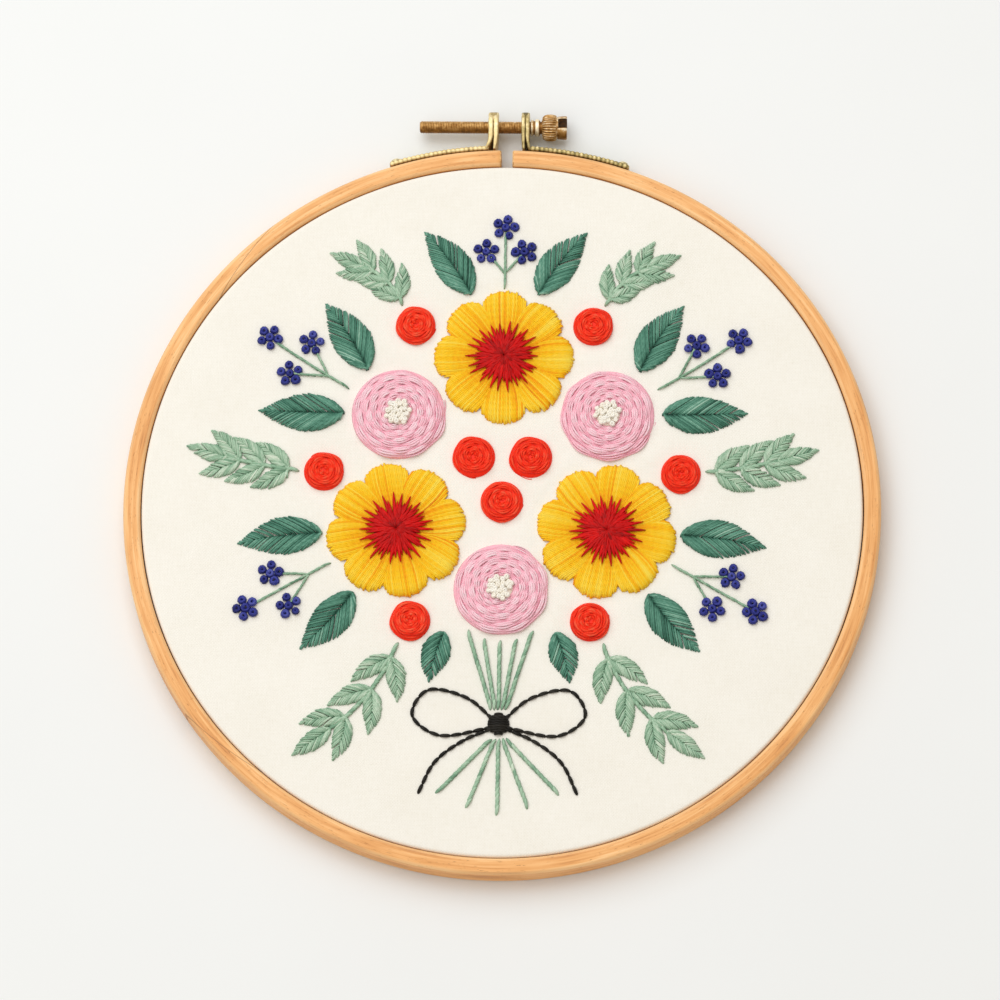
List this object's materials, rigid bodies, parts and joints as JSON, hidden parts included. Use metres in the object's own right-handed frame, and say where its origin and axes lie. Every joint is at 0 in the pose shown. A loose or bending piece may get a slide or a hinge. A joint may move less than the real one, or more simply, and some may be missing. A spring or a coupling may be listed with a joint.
{
  "type": "hoop embroidery art, a stitched cloth in a wooden hoop",
  "caption": "Round cotton cloth stitched with a posy, held taut between two wooden rings that a brass screw clamps at the top.",
  "frame": {"origin": "the middle of the part's box, on the plane that the backs of the rings lie on", "axes": "+Z out of the cloth's stitched face, +Y from the middle of the hoop to its screw, +X to the right seen from the front, along the screw towards its slotted end"},
  "size_m": [0.212, 0.2244, 0.0111],
  "materials": {
    "outer_wood": "fine-grained pale beech, rounded edges, waxed",
    "inner_wood": "fine-grained pale beech, plain",
    "cotton_cloth": "plain-woven cream-white cotton, stretched taut",
    "brass_bracket": "pale brass, pressed ribs, bright on its edges",
    "brass_tack": "pale brass, bright",
    "bronzed_screw": "browned brass, threaded, knurled and slotted",
    "amber_thread": "satin stitch, silky",
    "crimson_thread": "long and short stitch, silky",
    "pink_thread": "woven wheel of stranded thread",
    "white_thread": "cluster of knots",
    "coral_thread": "woven wheel of stranded thread",
    "pine_thread": "slanted satin stitch with a middle vein",
    "sage_thread": "slanted satin stitch and stem stitch",
    "navy_thread": "clusters of knots",
    "black_thread": "backstitch"
  },
  "bodies": {
    "hoop": {"bow": "black_thread", "bracket_left": "brass_bracket", "bracket_right": "brass_bracket", "bud_1": "coral_thread", "bud_2": "coral_thread", "bud_3": "coral_thread", "bud_4": "coral_thread", "bud_5": "coral_thread", "bud_6": "coral_thread", "bud_7": "coral_thread", "bud_8": "coral_thread", "bud_9": "coral_thread", "cloth": "cotton_cloth", "daisy_left": "amber_thread", "daisy_left_eye": "crimson_thread", "daisy_right": "amber_thread", "daisy_right_eye": "crimson_thread", "daisy_top": "amber_thread", "daisy_top_eye": "crimson_thread", "inner_ring": "inner_wood", "leaf_1": "pine_thread", "leaf_10": "pine_thread", "leaf_11": "pine_thread", "leaf_12": "pine_thread", "leaf_2": "pine_thread", "leaf_3": "pine_thread", "leaf_4": "pine_thread", "leaf_5": "pine_thread", "leaf_6": "pine_thread", "leaf_7": "pine_thread", "leaf_8": "pine_thread", "leaf_9": "pine_thread", "outer_ring": "outer_wood", "rose_left": "pink_thread", "rose_left_knots": "white_thread", "rose_low": "pink_thread", "rose_low_knots": "white_thread", "rose_right": "pink_thread", "rose_right_knots": "white_thread", "spray_1": "sage_thread", "spray_2": "sage_thread", "spray_3": "sage_thread", "spray_4": "sage_thread", "spray_5": "sage_thread", "spray_6": "sage_thread", "sprig_1": "navy_thread", "sprig_2": "navy_thread", "sprig_3": "navy_thread", "sprig_4": "navy_thread", "sprig_5": "navy_thread", "stalks_lower": "sage_thread", "stalks_upper": "sage_thread", "tack_left": "brass_tack", "tack_right": "brass_tack"},
    "screw": {"screw": "bronzed_screw"}
  },
  "joints": [
    {"name": "screw_turn", "type": "hinge", "parent": "hoop", "child": "screw", "pos_m": [0, 0.1078, 0.004], "axis": [1, 0, 0], "range_deg": [-90, 360]}
  ]
}
